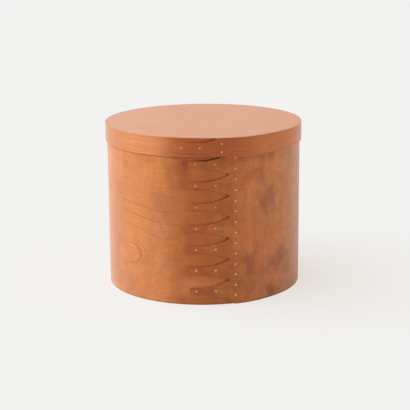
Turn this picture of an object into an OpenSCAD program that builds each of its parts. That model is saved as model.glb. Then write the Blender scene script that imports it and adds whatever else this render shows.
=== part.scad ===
// Round lidded box of bent wooden bands, in millimetres, with its base on Z = 0 and its laps in front (-Y).
// Each band is one strip, bent once round and tacked to itself where its fingered outer end lies over
// its thinned inner end. A place along a band is an arc length from the front line, positive to the right.

/* [Body] */
// Outside diameter of the body, away from the lap
body_diameter = 246; // [200:2:300]
// Height of the closed box
overall_height = 208; // [160:1:260]
// Thickness of the body band
body_thickness = 2; // [1.6:0.1:2.4]
// Thickness of the bottom board
bottom_thickness = 6; // [4:0.5:8]

/* [Lid] */
// Height of the lid band
lid_height = 23.5; // [20:0.5:30]
// Thickness of the lid band
lid_thickness = 1.7; // [1.4:0.1:2.1]
// Thickness of the lid board
lid_board_thickness = 6; // [4:0.5:8]

/* [Body fingers] */
// Number of fingers on the body
finger_count = 7; // [5:1:9]
// Length of the fingers to the left of the front line
finger_length = 18; // [15:1:24]
// Length of the part of a finger that has straight sides
finger_straight = 10; // [8:1:14]
// Width of a finger where it starts to flare
finger_waist_width = 7.8; // [7:0.1:9]
// Width of a finger at its tip
finger_tip_width = 7.4; // [6.5:0.1:8.5]
// Thickness to which a finger is thinned at its tip
finger_tip_thickness = 1; // [0.8:0.1:1.4]
// Length of the flare, to the point of the arch between two fingers
arch_length = 38; // [32:0.5:42]
// Height of the lowest arch's middle above the base
lap_margin = 4.6; // [3:0.2:6]
// Height of the highest arch's middle above the lid's lower edge
lap_tuck = 4.8; // [3:0.2:5]
// Cut across the corners of a finger's tip
tip_chamfer = 1.6; // [0.8:0.1:2]

/* [Lid finger] */
// Length of the lid's finger to the left of the front line
lid_finger_length = 35; // [30:1:42]
// Length of the part of that finger that has straight sides
lid_finger_straight = 27; // [22:1:30]
// Width of the lid's finger where it starts to flare
lid_finger_waist_width = 12.8; // [11:0.1:14]
// Width of the lid's finger at its tip
lid_finger_tip_width = 11.6; // [9:0.1:12]
// Thickness to which the lid's finger is thinned at its tip
lid_finger_tip_thickness = 0.9; // [0.7:0.1:1.2]
// Length of the flare, out to the edge of the lid band
lid_arch_length = 23; // [18:1:28]

/* [Laps] */
// Length of the body's lap to the right of the front line, where its two layers lie flat
lap_reach = 52; // [46:1:60]
// Angle in which an outer layer comes down to the band beyond the lap
ramp_angle = 24; // [20:1:30]
// Hairline between the layers of a lap
lap_gap = 0.1; // [0.06:0.02:0.14]
// Thickness at which the thinned inner end of a band stops
feather_end = 0.4; // [0.3:0.1:0.7]
// Length by which the rise in the lid band starts before its finger's tip
ramp_lead = 6; // [4:1:10]
// Eased corner along the edges of a band
band_ease = 0.4; // [0.2:0.1:0.6]

/* [Tacks] */
// Diameter of a tack's head
tack_head = 2.8; // [2.2:0.1:3.2]
// Diameter of a tack's shank
tack_shank = 1.3; // [1:0.1:1.5]
// Depth to which a head is driven in
tack_sink = 0.4; // [0.3:0.05:0.5]
// Height of the domed top of a head
tack_dome = 0.3; // [0.15:0.05:0.4]
// Length of the tip that is turned over inside
clinch_length = 2.6; // [2:0.2:3.2]
// Thickness of the tip that is turned over
clinch_thickness = 0.4; // [0.3:0.05:0.5]
// Place of the tacks near the tips, to the left of the front line
tip_tack_place = 9.9; // [8:0.1:12]
// Place of the tacks on the flare, to the right of the front line
waist_tack_place = 13.6; // [11:0.1:16]
// Place of the pairs of tacks behind the arches
root_tack_place = 38.1; // [35:0.1:42]
// Distance of a pair's tacks from the level of the arch next to them
root_tack_inset = 6.75; // [6.5:0.05:7.5]
// Place of the lid's tack near the tip, to the left of the front line
lid_tip_tack_place = 26.3; // [24:0.1:29]
// Place of the lid's tack on the flare, to the left of the front line
lid_waist_tack_place = 3.75; // [2:0.05:6]
// Place of the lid's pair of tacks
lid_root_tack_place = 22.6; // [20:0.1:26]
// Distance between the lid's pair of tacks
lid_root_tack_spacing = 10.2; // [8:0.1:12]

/* [Pegs] */
// Diameter of the pegs that hold the boards
peg_diameter = 1.8; // [1.4:0.1:2.2]
// Length of the pegs
peg_length = 11; // [8:0.5:14]
// Number of pegs in each board
peg_count = 11; // [7:1:15]

/* [Fits] */
// Gap between the body and the lid that lifts off it
lid_clearance = 0.35; // [0.3:0.05:0.5]
// Gap between the body's rim and the lid board
rim_clearance = 0.3; // [0.2:0.05:0.5]
// Gap round boards, pegs and tacks in the wood that holds them
fit_clearance = 0.05; // [0.03:0.01:0.08]

/* [Hidden] */
$fn = 180;
SMALL_FN = 28;
DOME_STEPS = 4;
BEYOND = 1;
CUT_DEPTH = 12;
BOARD_RIM = 25;
JOIN_LENGTH = 0.02;
JOIN_SKIN = 0.002;
MOUTH_INSET = 0.25;
PEG_MARGIN = 8;

body_r = body_diameter / 2;
inner_r = body_r - body_thickness;
body_rise = body_thickness + lap_gap;
lap_end = turn(lap_reach, body_r);
rim_z = overall_height - lid_board_thickness - rim_clearance;

lid_bottom = overall_height - lid_height;
lid_inner_r = body_r + lid_clearance;
lid_r = lid_inner_r + lid_thickness;
lid_rise = body_rise + lid_thickness + lap_gap;
lid_mid = overall_height - lid_height / 2;
lid_ramp_start = -turn(lid_finger_length + ramp_lead, lid_r);
lid_ramp_end = lid_ramp_start + ramp_angle;
lid_e = ramp_offset(body_rise);

lid_top_r = lid_r + lap_gap + lid_thickness;
lid_a_r = lid_top_r + lid_e;
lid_a_length = lid_a_r * ramp_angle / 2 * PI / 180;
lid_thin_length = lid_a_length - ramp_lead;
lid_thin_drop = lid_thickness - lid_finger_tip_thickness;
lid_thin_e = thin_offset(lid_a_r, lid_thin_length, lid_thin_drop);

finger_pitch = (lid_bottom + lap_tuck - lap_margin) / finger_count;
finger_waist = finger_straight - finger_length;
thin_drop = body_thickness - finger_tip_thickness;
thin_e = thin_offset(body_r + body_rise, finger_length, thin_drop);
waist_gap = (finger_pitch - finger_waist_width) / 2;
tip_gap = (finger_pitch - finger_tip_width) / 2;

lid_waist_gap = (lid_height - lid_finger_waist_width) / 2;
lid_tip_gap = (lid_height - lid_finger_tip_width) / 2;

peg_first = lap_end + ramp_angle + PEG_MARGIN;
peg_last = 360 + lid_ramp_start - PEG_MARGIN;
bottom_peg_z = bottom_thickness / 2;
lid_peg_z = overall_height - lid_board_thickness / 2;

body_tack = 2 * body_thickness + lap_gap - fit_clearance;
tip_tack = body_tack - thin_drop * pow(tip_tack_place / finger_length, 2);
lid_tack = 2 * lid_thickness + lap_gap - fit_clearance;
lid_tip_tack_inset = lid_finger_length - lid_tip_tack_place;
lid_tip_tack = lid_tack - lid_thin_drop * pow(1 - lid_tip_tack_inset / lid_thin_length, 2);

// Angle that an arc length takes up on a radius
function turn(length, r) = length / r * 180 / PI;
// Direction in plan, measured from the front to the right
function way(angle) = [sin(angle), -cos(angle)];
// Distance from the box's axis to the centres of the two arcs that make a ramp of this rise
function ramp_offset(rise) = rise / (2 * (1 - cos(ramp_angle / 2)));
// Radius of an arc that leaves a straight edge and crosses a gap in a length
function arch_radius(length, gap) = (length * length + gap * gap) / (2 * gap);
// Distance by which an arc's centre moves so that the arc falls by a drop in a length
function thin_offset(r, length, drop) = let (k = 2 * drop * r * r / (length * length)) k * r / (r + k);
// Height of a finger's middle
function finger_z(i) = lap_margin + finger_pitch * (i + 0.5);
// Angle left over when a feathered end between two ramps stops
function feather_angle(e_in, e_out, r) =
    sqrt(2 * (feather_end + lap_gap) / (e_out * (1 + e_out / r) - e_in * (1 + e_in / r))) * 180 / PI;
// Centre, direction and radius of the lid's top layer at a place along it
function lid_place(length) =
    let (s = length + lid_finger_length + ramp_lead,
        middle = lid_ramp_start + ramp_angle / 2,
        r_b = lid_top_r + body_rise - lid_e,
        l_b = r_b * ramp_angle / 2 * PI / 180)
    s < lid_a_length ? [-lid_e * way(lid_ramp_start) + lid_thin_e * way(middle),
        middle - turn(lid_a_length - s, lid_a_r - lid_thin_e), lid_a_r - lid_thin_e]
    : s < lid_a_length + l_b ? [lid_e * way(lid_ramp_end), middle + turn(s - lid_a_length, r_b), r_b]
    : [[0, 0], lid_ramp_end + turn(s - lid_a_length - l_b, lid_top_r + body_rise), lid_top_r + body_rise];

// Piece of bent strip about a centre in plan, with eased corners on its outer face.
// A piece that holds its neighbours is a hair longer and thicker, so that the strip is one solid.
module wall(centre, from, to, r_in, r_out, z_low, z_high, ease = 0, holds = false) {
    skin = holds ? JOIN_SKIN : 0;
    more = holds ? turn(JOIN_LENGTH, r_out) : 0;
    a = r_in - skin;
    b = r_out + skin;
    translate([centre.x, centre.y, 0])
        rotate_extrude(angle = to - from + 2 * more, start = from - more - 90)
            polygon(ease == 0
                ? [[a, z_low], [b, z_low], [b, z_high], [a, z_high]]
                : [[a, z_low], [b - ease, z_low], [b, z_low + ease],
                    [b, z_high - ease], [b - ease, z_high], [a, z_high]]);
}

// Strip that falls by a rise to the right of an angle, in two arcs that meet smoothly
module ramp_down(at, r, rise, thick, z_low, z_high, ease = 0) {
    e = ramp_offset(rise);
    foot = at + ramp_angle;
    middle = at + ramp_angle / 2;
    wall(e * way(at), at, middle, r + rise - e - thick, r + rise - e, z_low, z_high, ease);
    wall(-e * way(foot), middle, foot, r + e - thick, r + e, z_low, z_high, ease, true);
}

// Strip that climbs by a rise to the left of an angle
module ramp_up(to, r, rise, thick, z_low, z_high, ease = 0) {
    e = ramp_offset(rise);
    foot = to - ramp_angle;
    middle = to - ramp_angle / 2;
    wall(-e * way(foot), foot, middle, r + e - thick, r + e, z_low, z_high, ease, true);
    wall(e * way(to), middle, to, r + rise - e - thick, r + rise - e, z_low, z_high, ease);
}

// Thinned inner end that fills the ramp of the layer above it
module feather(at, r, rise, thick, stop, z_low, z_high, holds) {
    e = ramp_offset(rise);
    foot = at + ramp_angle;
    middle = at + ramp_angle / 2;
    b = r + rise - e - thick - lap_gap;
    a = r + e - thick - lap_gap;
    wall(e * way(at), at, middle, b - CUT_DEPTH, b, z_low, z_high, 0, holds);
    wall(-e * way(foot), middle, foot - stop, a - CUT_DEPTH, a, z_low, z_high, 0, !holds);
}

// Layer that is thinned towards its left end, over an arc about a centre
module thinned(centre, at, r, thick, length, e, z_low, z_high, ease, holds) {
    skin = holds ? JOIN_SKIN : 0;
    difference() {
        wall(centre + e * way(at), at - turn(length, r - e), at, r - e - CUT_DEPTH, r - e,
            z_low, z_high, ease, holds);
        translate([centre.x, centre.y, z_low - BEYOND])
            cylinder(r = r - thick - skin, h = z_high - z_low + 2 * BEYOND);
    }
}

// Disc whose outline has the rise that the body's lap needs
module raised_disc(r, z_low, z_high) {
    translate([0, 0, z_low])
        cylinder(r = r - BOARD_RIM + body_rise + BEYOND, h = z_high - z_low);
    wall([0, 0], lap_end + ramp_angle, 360 + lid_ramp_start, r - BOARD_RIM, r, z_low, z_high);
    ramp_up(lid_ramp_end, r, body_rise, BOARD_RIM, z_low, z_high);
    wall([0, 0], lid_ramp_end, lap_end, r + body_rise - BOARD_RIM, r + body_rise, z_low, z_high, 0, true);
    ramp_down(lap_end, r, body_rise, BOARD_RIM, z_low, z_high);
}

// Turns a flat shape into a cutter that goes through a band's front, at a place along it
module through_band(length, r) {
    rotate(turn(length, r))
        rotate([90, 0, 0])
            translate([0, 0, r - CUT_DEPTH])
                linear_extrude(2 * CUT_DEPTH)
                    translate([-length, 0])
                        children();
}

// Straight-sided mouth of a gap between fingers, wider at the tips
module gap_mouth(tip, waist, tip_half, waist_half) {
    out = tip_chamfer + BEYOND;
    polygon([[-tip - BEYOND, -tip_half - out], [-tip + tip_chamfer, -tip_half], [waist, -waist_half],
        [waist, waist_half], [-tip + tip_chamfer, tip_half], [-tip - BEYOND, tip_half + out]]);
}

// Pointed arch between two fingers of the body
module body_gap() {
    arch = arch_radius(arch_length, waist_gap);
    gap_mouth(finger_length, finger_waist + BEYOND, tip_gap, waist_gap - MOUTH_INSET);
    intersection() {
        translate([finger_waist, waist_gap - arch]) circle(arch);
        translate([finger_waist, arch - waist_gap]) circle(arch);
    }
}

// Half arch that runs out to the edge of the body, below the lowest finger
module body_end_gap() {
    arch = arch_radius(arch_length, waist_gap);
    gap_mouth(finger_length, finger_waist + BEYOND, tip_gap, waist_gap - MOUTH_INSET);
    translate([finger_waist, waist_gap - arch]) circle(arch);
}

// Half arch below the lid's finger
module lid_gap() {
    waist = lid_finger_straight - lid_finger_length;
    arch = arch_radius(lid_arch_length, lid_waist_gap);
    gap_mouth(lid_finger_length, waist + BEYOND, lid_tip_gap, lid_waist_gap - MOUTH_INSET);
    translate([waist, lid_waist_gap - arch]) circle(arch);
}

// Outer layer of the body's lap, cut into fingers
module body_fingers() {
    r = body_r + body_rise;
    difference() {
        union() {
            thinned([0, 0], 0, r, body_thickness, finger_length, thin_e, 0, rim_z, band_ease, false);
            wall([0, 0], 0, lap_end, body_r + lap_gap, r, 0, rim_z, band_ease, true);
        }
        through_band((finger_waist + arch_length - finger_length) / 2, body_r) {
            translate([0, lap_margin]) body_end_gap();
            translate([0, lap_margin + finger_pitch * finger_count]) mirror([0, 1]) body_end_gap();
            for (i = [1 : finger_count - 1]) translate([0, lap_margin + finger_pitch * i]) body_gap();
        }
    }
}

// Body band without its holes
module body_strip() {
    e = ramp_offset(body_rise);
    wall([0, 0], lap_end + ramp_angle, 360 + lap_end, inner_r, body_r, 0, rim_z, band_ease);
    difference() {
        feather(lap_end, body_r, body_rise, body_thickness, feather_angle(0, e, body_r), 0, rim_z, true);
        translate([0, 0, -BEYOND]) cylinder(r = inner_r, h = rim_z + 2 * BEYOND);
    }
    body_fingers();
    ramp_down(lap_end, body_r, body_rise, body_thickness, 0, rim_z, band_ease);
}

// Outer layer of the lid's lap, cut to one finger
module lid_finger() {
    top = overall_height;
    middle = lid_ramp_start + ramp_angle / 2;
    r = lid_top_r + body_rise;
    b = r - lid_e;
    difference() {
        union() {
            thinned(-lid_e * way(lid_ramp_start), middle, lid_a_r, lid_thickness, lid_thin_length, lid_thin_e,
                lid_bottom, top, band_ease, true);
            wall(lid_e * way(lid_ramp_end), middle, lid_ramp_end, b - lid_thickness, b,
                lid_bottom, top, band_ease);
            wall([0, 0], lid_ramp_end, lap_end, r - lid_thickness, r, lid_bottom, top, band_ease, true);
        }
        through_band((lid_arch_length + lid_finger_straight) / 2 - lid_finger_length, lid_r) {
            translate([0, lid_bottom]) lid_gap();
            translate([0, top]) mirror([0, 1]) lid_gap();
        }
    }
}

// Lid band without its holes
module lid_strip() {
    top = overall_height;
    stop = feather_angle(lid_e, ramp_offset(lid_rise), lid_r);
    wall([0, 0], lap_end + ramp_angle, 360 + lid_ramp_start, lid_inner_r, lid_r, lid_bottom, top, band_ease);
    ramp_up(lid_ramp_end, lid_r, body_rise, lid_thickness, lid_bottom, top, band_ease);
    wall([0, 0], lid_ramp_end, lap_end, lid_inner_r + body_rise, lid_r + body_rise,
        lid_bottom, top, band_ease, true);
    difference() {
        feather(lap_end, lid_r, lid_rise, lid_thickness, stop, lid_bottom, top, false);
        raised_disc(lid_inner_r, lid_bottom - BEYOND, top + BEYOND);
    }
    lid_finger();
    ramp_down(lap_end, lid_r, lid_rise, lid_thickness, lid_bottom, top, band_ease);
}

// Tack along Z, with its head's edge at Z = 0 and its tip turned over inside the wood
module tack(length) {
    r = tack_head / 2;
    ball = (r * r + tack_dome * tack_dome) / (2 * tack_dome);
    rotate_extrude($fn = SMALL_FN)
        polygon(concat([[0, -tack_sink], [r, -tack_sink]],
            [for (i = [0 : DOME_STEPS])
                let (x = r * (1 - i / DOME_STEPS)) [x, tack_dome - ball + sqrt(ball * ball - x * x)]]));
    translate([0, 0, -length + clinch_thickness / 2])
        cylinder(d = tack_shank, h = length - tack_sink, $fn = SMALL_FN);
    translate([-tack_shank / 2, -tack_shank / 2, -length])
        cube([tack_shank, clinch_length, clinch_thickness]);
}

// Hole that a tack fills
module tack_hole(length) {
    slack = fit_clearance;
    wide = tack_shank + 2 * slack;
    translate([0, 0, -tack_sink - slack])
        cylinder(d = tack_head + 2 * slack, h = tack_sink + slack + BEYOND, $fn = SMALL_FN);
    translate([0, 0, -length - BEYOND])
        cylinder(d = wide, h = length + BEYOND, $fn = SMALL_FN);
    translate([-wide / 2, -wide / 2, -length - BEYOND])
        cube([wide, clinch_length + 2 * slack, clinch_thickness + slack + BEYOND]);
}

// Puts a thing at a place on the body's outer layer, facing outwards
module on_body(length, z) {
    rotate(turn(length, body_r))
        translate([0, -body_r - body_rise, z])
            rotate([90, 0, 0])
                children();
}

// Puts a thing at a place on the thinned part of each of the body's fingers, facing outwards
module along_tips() {
    r = body_r + body_rise - thin_e;
    for (i = [0 : finger_count - 1])
        translate([0, -thin_e, finger_z(i)])
            rotate(-turn(tip_tack_place, r))
                translate([0, -r, 0])
                    rotate([90, 0, 0])
                        children();
}

// Puts a thing at a place on the lid's outer layer, facing outwards
module on_lid(length, z) {
    place = lid_place(length);
    translate([place[0].x, place[0].y, 0])
        rotate(place[1])
            translate([0, -place[2], z])
                rotate([90, 0, 0])
                    children();
}

// One tack or hole where each of the body's fingers flares
module along_waists() {
    for (i = [0 : finger_count - 1]) on_body(waist_tack_place, finger_z(i)) children();
}

// A pair of tacks or holes behind each finger of the body
module along_roots() {
    for (i = [0 : finger_count - 1])
        for (side = [-1, 1])
            on_body(root_tack_place, finger_z(i) + side * (finger_pitch / 2 - root_tack_inset)) children();
}

// Tack or hole near the tip of the lid's finger
module at_lid_tip() {
    on_lid(-lid_tip_tack_place, lid_mid) children();
}

// Tack or hole where the lid's finger flares
module at_lid_waist() {
    on_lid(-lid_waist_tack_place, lid_mid) children();
}

// The pair of tacks or holes behind the lid's finger
module along_lid_root() {
    for (side = [-1, 1])
        on_lid(lid_root_tack_place, lid_mid + side * lid_root_tack_spacing / 2) children();
}

// Pegs or peg holes that point at the axis, set evenly round a band from its ramp back to its lap
module pegs(r, z, grow, out) {
    for (i = [0 : peg_count - 1])
        rotate(peg_first + (peg_last - peg_first) * i / (peg_count - 1))
            translate([0, -r - out, z])
                rotate([-90, 0, 0])
                    cylinder(d = peg_diameter + 2 * grow, h = peg_length + grow + out, $fn = SMALL_FN);
}

module body_band() {
    color("#b4713f")
        difference() {
            body_strip();
            along_tips() tack_hole(tip_tack);
            along_waists() tack_hole(body_tack);
            along_roots() tack_hole(body_tack);
            pegs(body_r, bottom_peg_z, fit_clearance, BEYOND);
        }
}

module bottom_board() {
    color("#c08a5c")
        difference() {
            cylinder(r = inner_r - fit_clearance, h = bottom_thickness);
            pegs(body_r, bottom_peg_z, fit_clearance, BEYOND);
        }
}

module bottom_pegs() {
    color("#8a5430") pegs(body_r, bottom_peg_z, 0, -fit_clearance);
}

module finger_tip_tacks() {
    color("#d08a60") along_tips() tack(tip_tack);
}

module finger_waist_tacks() {
    color("#d08a60") along_waists() tack(body_tack);
}

module finger_root_tacks() {
    color("#d08a60") along_roots() tack(body_tack);
}

module lid_band() {
    color("#b4713f")
        difference() {
            lid_strip();
            at_lid_tip() tack_hole(lid_tip_tack);
            at_lid_waist() tack_hole(lid_tack);
            along_lid_root() tack_hole(lid_tack);
            pegs(lid_r, lid_peg_z, fit_clearance, BEYOND);
        }
}

module lid_board() {
    color("#d9a98c")
        difference() {
            raised_disc(lid_inner_r - fit_clearance, overall_height - lid_board_thickness, overall_height);
            pegs(lid_r, lid_peg_z, fit_clearance, BEYOND);
        }
}

module lid_pegs() {
    color("#8a5430") pegs(lid_r, lid_peg_z, 0, -fit_clearance);
}

module lid_finger_tacks() {
    color("#d08a60") {
        at_lid_tip() tack(lid_tip_tack);
        at_lid_waist() tack(lid_tack);
    }
}

module lid_root_tacks() {
    color("#d08a60") along_lid_root() tack(lid_tack);
}

body_band();
bottom_board();
bottom_pegs();
finger_tip_tacks();
finger_waist_tacks();
finger_root_tacks();
lid_band();
lid_board();
lid_pegs();
lid_finger_tacks();
lid_root_tacks();
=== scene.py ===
"""Looks of a round lidded box of bent wood: two lapped bands, two boards, wooden pegs and copper tacks."""
import math
import random

import bpy
from mathutils import Matrix, Vector


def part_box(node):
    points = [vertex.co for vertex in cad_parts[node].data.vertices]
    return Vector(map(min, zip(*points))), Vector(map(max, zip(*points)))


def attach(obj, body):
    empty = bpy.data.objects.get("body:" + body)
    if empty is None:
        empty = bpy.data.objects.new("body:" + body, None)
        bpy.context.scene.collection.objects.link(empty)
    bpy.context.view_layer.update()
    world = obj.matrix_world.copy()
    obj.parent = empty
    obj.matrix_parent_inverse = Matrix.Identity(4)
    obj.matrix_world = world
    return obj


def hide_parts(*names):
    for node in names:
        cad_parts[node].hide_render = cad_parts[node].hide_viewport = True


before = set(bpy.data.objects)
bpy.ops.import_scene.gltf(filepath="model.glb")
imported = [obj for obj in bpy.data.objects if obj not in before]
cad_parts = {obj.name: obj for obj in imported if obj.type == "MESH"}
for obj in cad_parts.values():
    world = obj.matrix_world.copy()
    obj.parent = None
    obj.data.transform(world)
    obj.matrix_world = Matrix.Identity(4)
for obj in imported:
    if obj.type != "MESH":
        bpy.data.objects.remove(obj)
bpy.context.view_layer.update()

MM = 0.001
SEED = 7


def low_edge(node):
    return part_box(node)[0].z / MM


def high_edge(node):
    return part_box(node)[1].z / MM


# Sizes in millimetres and angles in radians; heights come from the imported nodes
HEIGHT = high_edge("lid_band")
RIM = high_edge("body_band")
LID_LOW = low_edge("lid_band")
LID_MID = (LID_LOW + HEIGHT) / 2
BOTTOM_TOP = high_edge("bottom_board")
BOARD_LOW = low_edge("lid_board")
PEG_R = (high_edge("lid_pegs") - low_edge("lid_pegs")) / 2

BODY_R = 123.0
BODY_THICK = 2.0
LID_THICK = 1.7
LID_CLEARANCE = 0.35
FIT = 0.05
LAP_GAP = 0.1
FEATHER_END = 0.4
RAMP = math.radians(24)
LAP_REACH = 52.0
LAP_END = LAP_REACH / BODY_R
BODY_RISE = BODY_THICK + LAP_GAP
LID_IN_R = BODY_R + LID_CLEARANCE
LID_R = LID_IN_R + LID_THICK
LID_RISE = BODY_RISE + LID_THICK + LAP_GAP
ROUND = 2 * math.pi

FINGERS = 7
FINGER_LENGTH = 18.0
FINGER_STRAIGHT = 10.0
FINGER_WAIST = FINGER_STRAIGHT - FINGER_LENGTH
FINGER_HALF_WIDTH = 3.9
FINGER_TIP_HALF_WIDTH = 3.7
FINGER_TIP_THICK = 1.0
ARCH_LENGTH = 38.0
LAP_MARGIN = 4.6
LAP_TUCK = 4.8
FINGER_PITCH = (LID_LOW + LAP_TUCK - LAP_MARGIN) / FINGERS
VALLEY = FINGER_WAIST + ARCH_LENGTH
TIP_ROUND = 2.6

LID_FINGER_LENGTH = 35.0
LID_FINGER_STRAIGHT = 27.0
LID_FINGER_WAIST = LID_FINGER_STRAIGHT - LID_FINGER_LENGTH
LID_FINGER_HALF_WIDTH = 6.4
LID_FINGER_TIP_HALF_WIDTH = 5.8
LID_FINGER_TIP_THICK = 0.9
LID_ARCH_LENGTH = 23.0
RAMP_LEAD = 6.0
LID_RAMP_START = -(LID_FINGER_LENGTH + RAMP_LEAD) / LID_R
LID_RAMP_END = LID_RAMP_START + RAMP
LID_RAMP_MID = LID_RAMP_START + RAMP / 2

TACK_R = 1.4
TACK_SHANK_R = 0.65
TACK_SINK = 0.4
TACK_DOME = 0.3
TACK_POINT = 0.8
TACK_TAPER = 0.4
HEAD_UNDER = 0.98
HEAD_EDGE = 0.05
HAMMERED = 0.02
CLINCH_LENGTH = 2.6
CLINCH_PROUD = 0.12
CLINCH_SUNK = 0.2
CLINCH_TAPER = 0.8
TIP_TACK = -9.9
WAIST_TACK = 13.6
ROOT_TACK = 38.1
ROOT_TACK_INSET = 6.75
LID_TIP_TACK = -26.3
LID_TIP_TACK_DROP = 0.4
LID_WAIST_TACK = -3.75
LID_ROOT_TACK = 22.6
LID_ROOT_TACK_HALF_SPACING = 5.1
FINGER_DULLING = 0.66
ROOT_DULLING = 0.36
LID_DULLING = 0.36
DULLING_SPREAD = 0.3

PEGS = 11
PEG_LENGTH = 11.0
PEG_MARGIN = math.radians(8)

# A tack's turned tip: place, half width and lift of each section
CLINCH_SECTIONS = (
    (-TACK_SHANK_R, 0.6, 0.0),
    (0.5, 0.65, 0.0),
    (1.4, 0.45, 0.04),
    (CLINCH_LENGTH - TACK_SHANK_R, 0.12, 0.1),
)

# A peg's profile: share of its radius, height and darkness
PEG_PROFILE = (
    (0.8, -PEG_LENGTH, 0.0),
    (1.0, -1.0, 0.0),
    (1.0, -0.03, 0.25),
    (0.88, 0.01, 0.05),
    (0.6, 0.03, 0.0),
    (0.25, 0.035, 0.0),
)

# How finely the meshes are cut, in counts, shares and millimetres
ROWS = 10
EDGE_ROW = 0.3
TIP_STEPS = 6
FINE_STEP = 1.0
BAND_STEP = 4.0
FINE_PAST_LAP = 60.0
EVEN_RUN = 25.0
BOARD_SIDES = 200
BOARD_RINGS = (0.06, 0.2, 0.4, 0.6, 0.8, 0.93)
CORNER_STEPS = 3
DOME_RINGS = (0.97, 0.8, 0.6, 0.35, 0.12)
TACK_SIDES = 20
PEG_SIDES = 16
SHARP_ANGLE = math.radians(50)
NEAR = 1e-6

# Rounded edges: widths in millimetres, largest shares of a thickness or width, and shares of darkness
PLAIN_EDGE = 0.4
BOARD_EASE = 0.35
EDGE_OF_THICK = 0.8
TIP_OF_THICK = 0.4
EDGE_OF_WIDTH = 0.4
INNER_DARK = 0.5
CUT_SHARE = 0.15

# Cut edges along the bands: start, end, and the value before and after; a darkness below 0 is a pale
# colour, painted light that offsets the shade on lower edges, and a pale band at the lid finger's end
LOWER_WIDTH = (-5, 10, 0.4, 0.7)
LOWER_DARK = (VALLEY - 7, VALLEY - 1, -0.05, 0.7)
UPPER_WIDTH = (0, VALLEY, 0.3, 0.9)
UPPER_DARK = (0, VALLEY - 8, 0.2, 0.45)
# The top finger's upper edge: its dark cut line, with painted shade of the lid's edge over it
TOP_WIDTH = (-12, 6, 0.4, 1.4)
TOP_DARK = (-14, 4, 0.4, 1.0)
VALLEY_WIDTH = (VALLEY - 9, VALLEY - 2, 0.0, 0.8)
VALLEY_DARK = (VALLEY - 9, VALLEY - 2, 0.0, 0.4)
LINE_STRENGTHS = (0.3, 0.7, 1.0, 1.0, 1.0, 0.9)
LID_UPPER_WIDTH = (-12, 8, 0.3, 1.3)
LID_UPPER_DARK = (-22, 4, 0.2, 1.0)
LID_LOWER_DARK = -0.1
# Where the lid's lower edge meets the top finger it is darkened: painted shade
LID_MEETS = (0, 8, 0.0, 1.0)
LID_PARTS = (23, 27, 1.0, 0.0)
LID_MEETS_WIDTH = 1.35
LID_END_DARK = (-LID_FINGER_LENGTH + 1, -LID_FINGER_LENGTH + 5, -0.22, 0.0)


def way(angle):
    """Direction in plan, measured from the front to the right."""
    return Vector((math.sin(angle), -math.cos(angle), 0))


def blend(a, b, share):
    return a + (b - a) * share


def smooth(x, start, end):
    """0 before start, 1 after end, and a smooth step between."""
    x = min(1.0, max(0.0, (x - start) / (end - start)))
    return x * x * (3 - 2 * x)


def change(u, start, end, before, after):
    """A value that goes smoothly from one to another between two places."""
    return blend(before, after, smooth(u, start, end))


def ramp_offset(rise):
    """Distance from the axis to the centres of the two arcs that make a ramp of this rise."""
    return rise / (2 * (1 - math.cos(RAMP / 2)))


def ramp_radius(turn, r, rise, inset=0.0):
    """Radius on a ramp, at an angle from its high end, on a face that lies inside its outer face."""
    e = ramp_offset(rise)
    high = r + rise - e - inset
    half = RAMP / 2
    if turn < math.atan2(high * math.sin(half), e + high * math.cos(half)):
        return e * math.cos(turn) + math.sqrt(high ** 2 - (e * math.sin(turn)) ** 2)
    rest = RAMP - turn
    return math.sqrt((r + e - inset) ** 2 - (e * math.sin(rest)) ** 2) - e * math.cos(rest)


def feather_stop(e_in, e_out, r, thick):
    """Angle about the axis that is left over on a ramp when a feathered end stops."""
    bend = e_out * (1 + e_out / r) - e_in * (1 + e_in / r)
    stop = math.sqrt(2 * (FEATHER_END + LAP_GAP) / bend)
    arc = r + e_out - thick - LAP_GAP
    return math.atan2(arc * math.sin(stop), arc * math.cos(stop) - e_out)


def thinned_arc(centre, r, angle, drop, length):
    """Arc that leaves another one at an angle and falls below it by a drop at a length along it."""
    bend = 2 * drop * r ** 2 / length ** 2
    shift = bend * r / (r + bend)
    return centre + way(angle) * shift, r - shift


def arc_radius(t, centre, r):
    """Distance from the axis to an arc about another centre, in the direction of an angle."""
    near = centre.dot(way(t))
    return near + math.sqrt(r ** 2 - centre.length_squared + near ** 2)


LID_SLOPE_R = LID_R + LAP_GAP + LID_THICK + ramp_offset(BODY_RISE)
LID_SLOPE = LID_SLOPE_R * RAMP / 2
BODY_FINGER_ARC = thinned_arc(Vector(), BODY_R + BODY_RISE, 0.0,
                              BODY_THICK - FINGER_TIP_THICK, FINGER_LENGTH)
LID_FINGER_ARC = thinned_arc(-way(LID_RAMP_START) * ramp_offset(BODY_RISE), LID_SLOPE_R, LID_RAMP_MID,
                             LID_THICK - LID_FINGER_TIP_THICK, LID_SLOPE - RAMP_LEAD)


def body_radii(t):
    """Inner and outer radius of the body band at an angle that runs on past a full turn."""
    if t < 0:
        return BODY_R + LAP_GAP, arc_radius(t, *BODY_FINGER_ARC)
    if t < LAP_END:
        return BODY_R + LAP_GAP, BODY_R + BODY_RISE
    if t < LAP_END + RAMP:
        turn = t - LAP_END
        return ramp_radius(turn, BODY_R, BODY_RISE, BODY_THICK), ramp_radius(turn, BODY_R, BODY_RISE)
    if t < ROUND + LAP_END:
        return BODY_R - BODY_THICK, BODY_R
    turn = t - ROUND - LAP_END
    return BODY_R - BODY_THICK, ramp_radius(turn, BODY_R, BODY_RISE, BODY_THICK + LAP_GAP)


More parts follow.
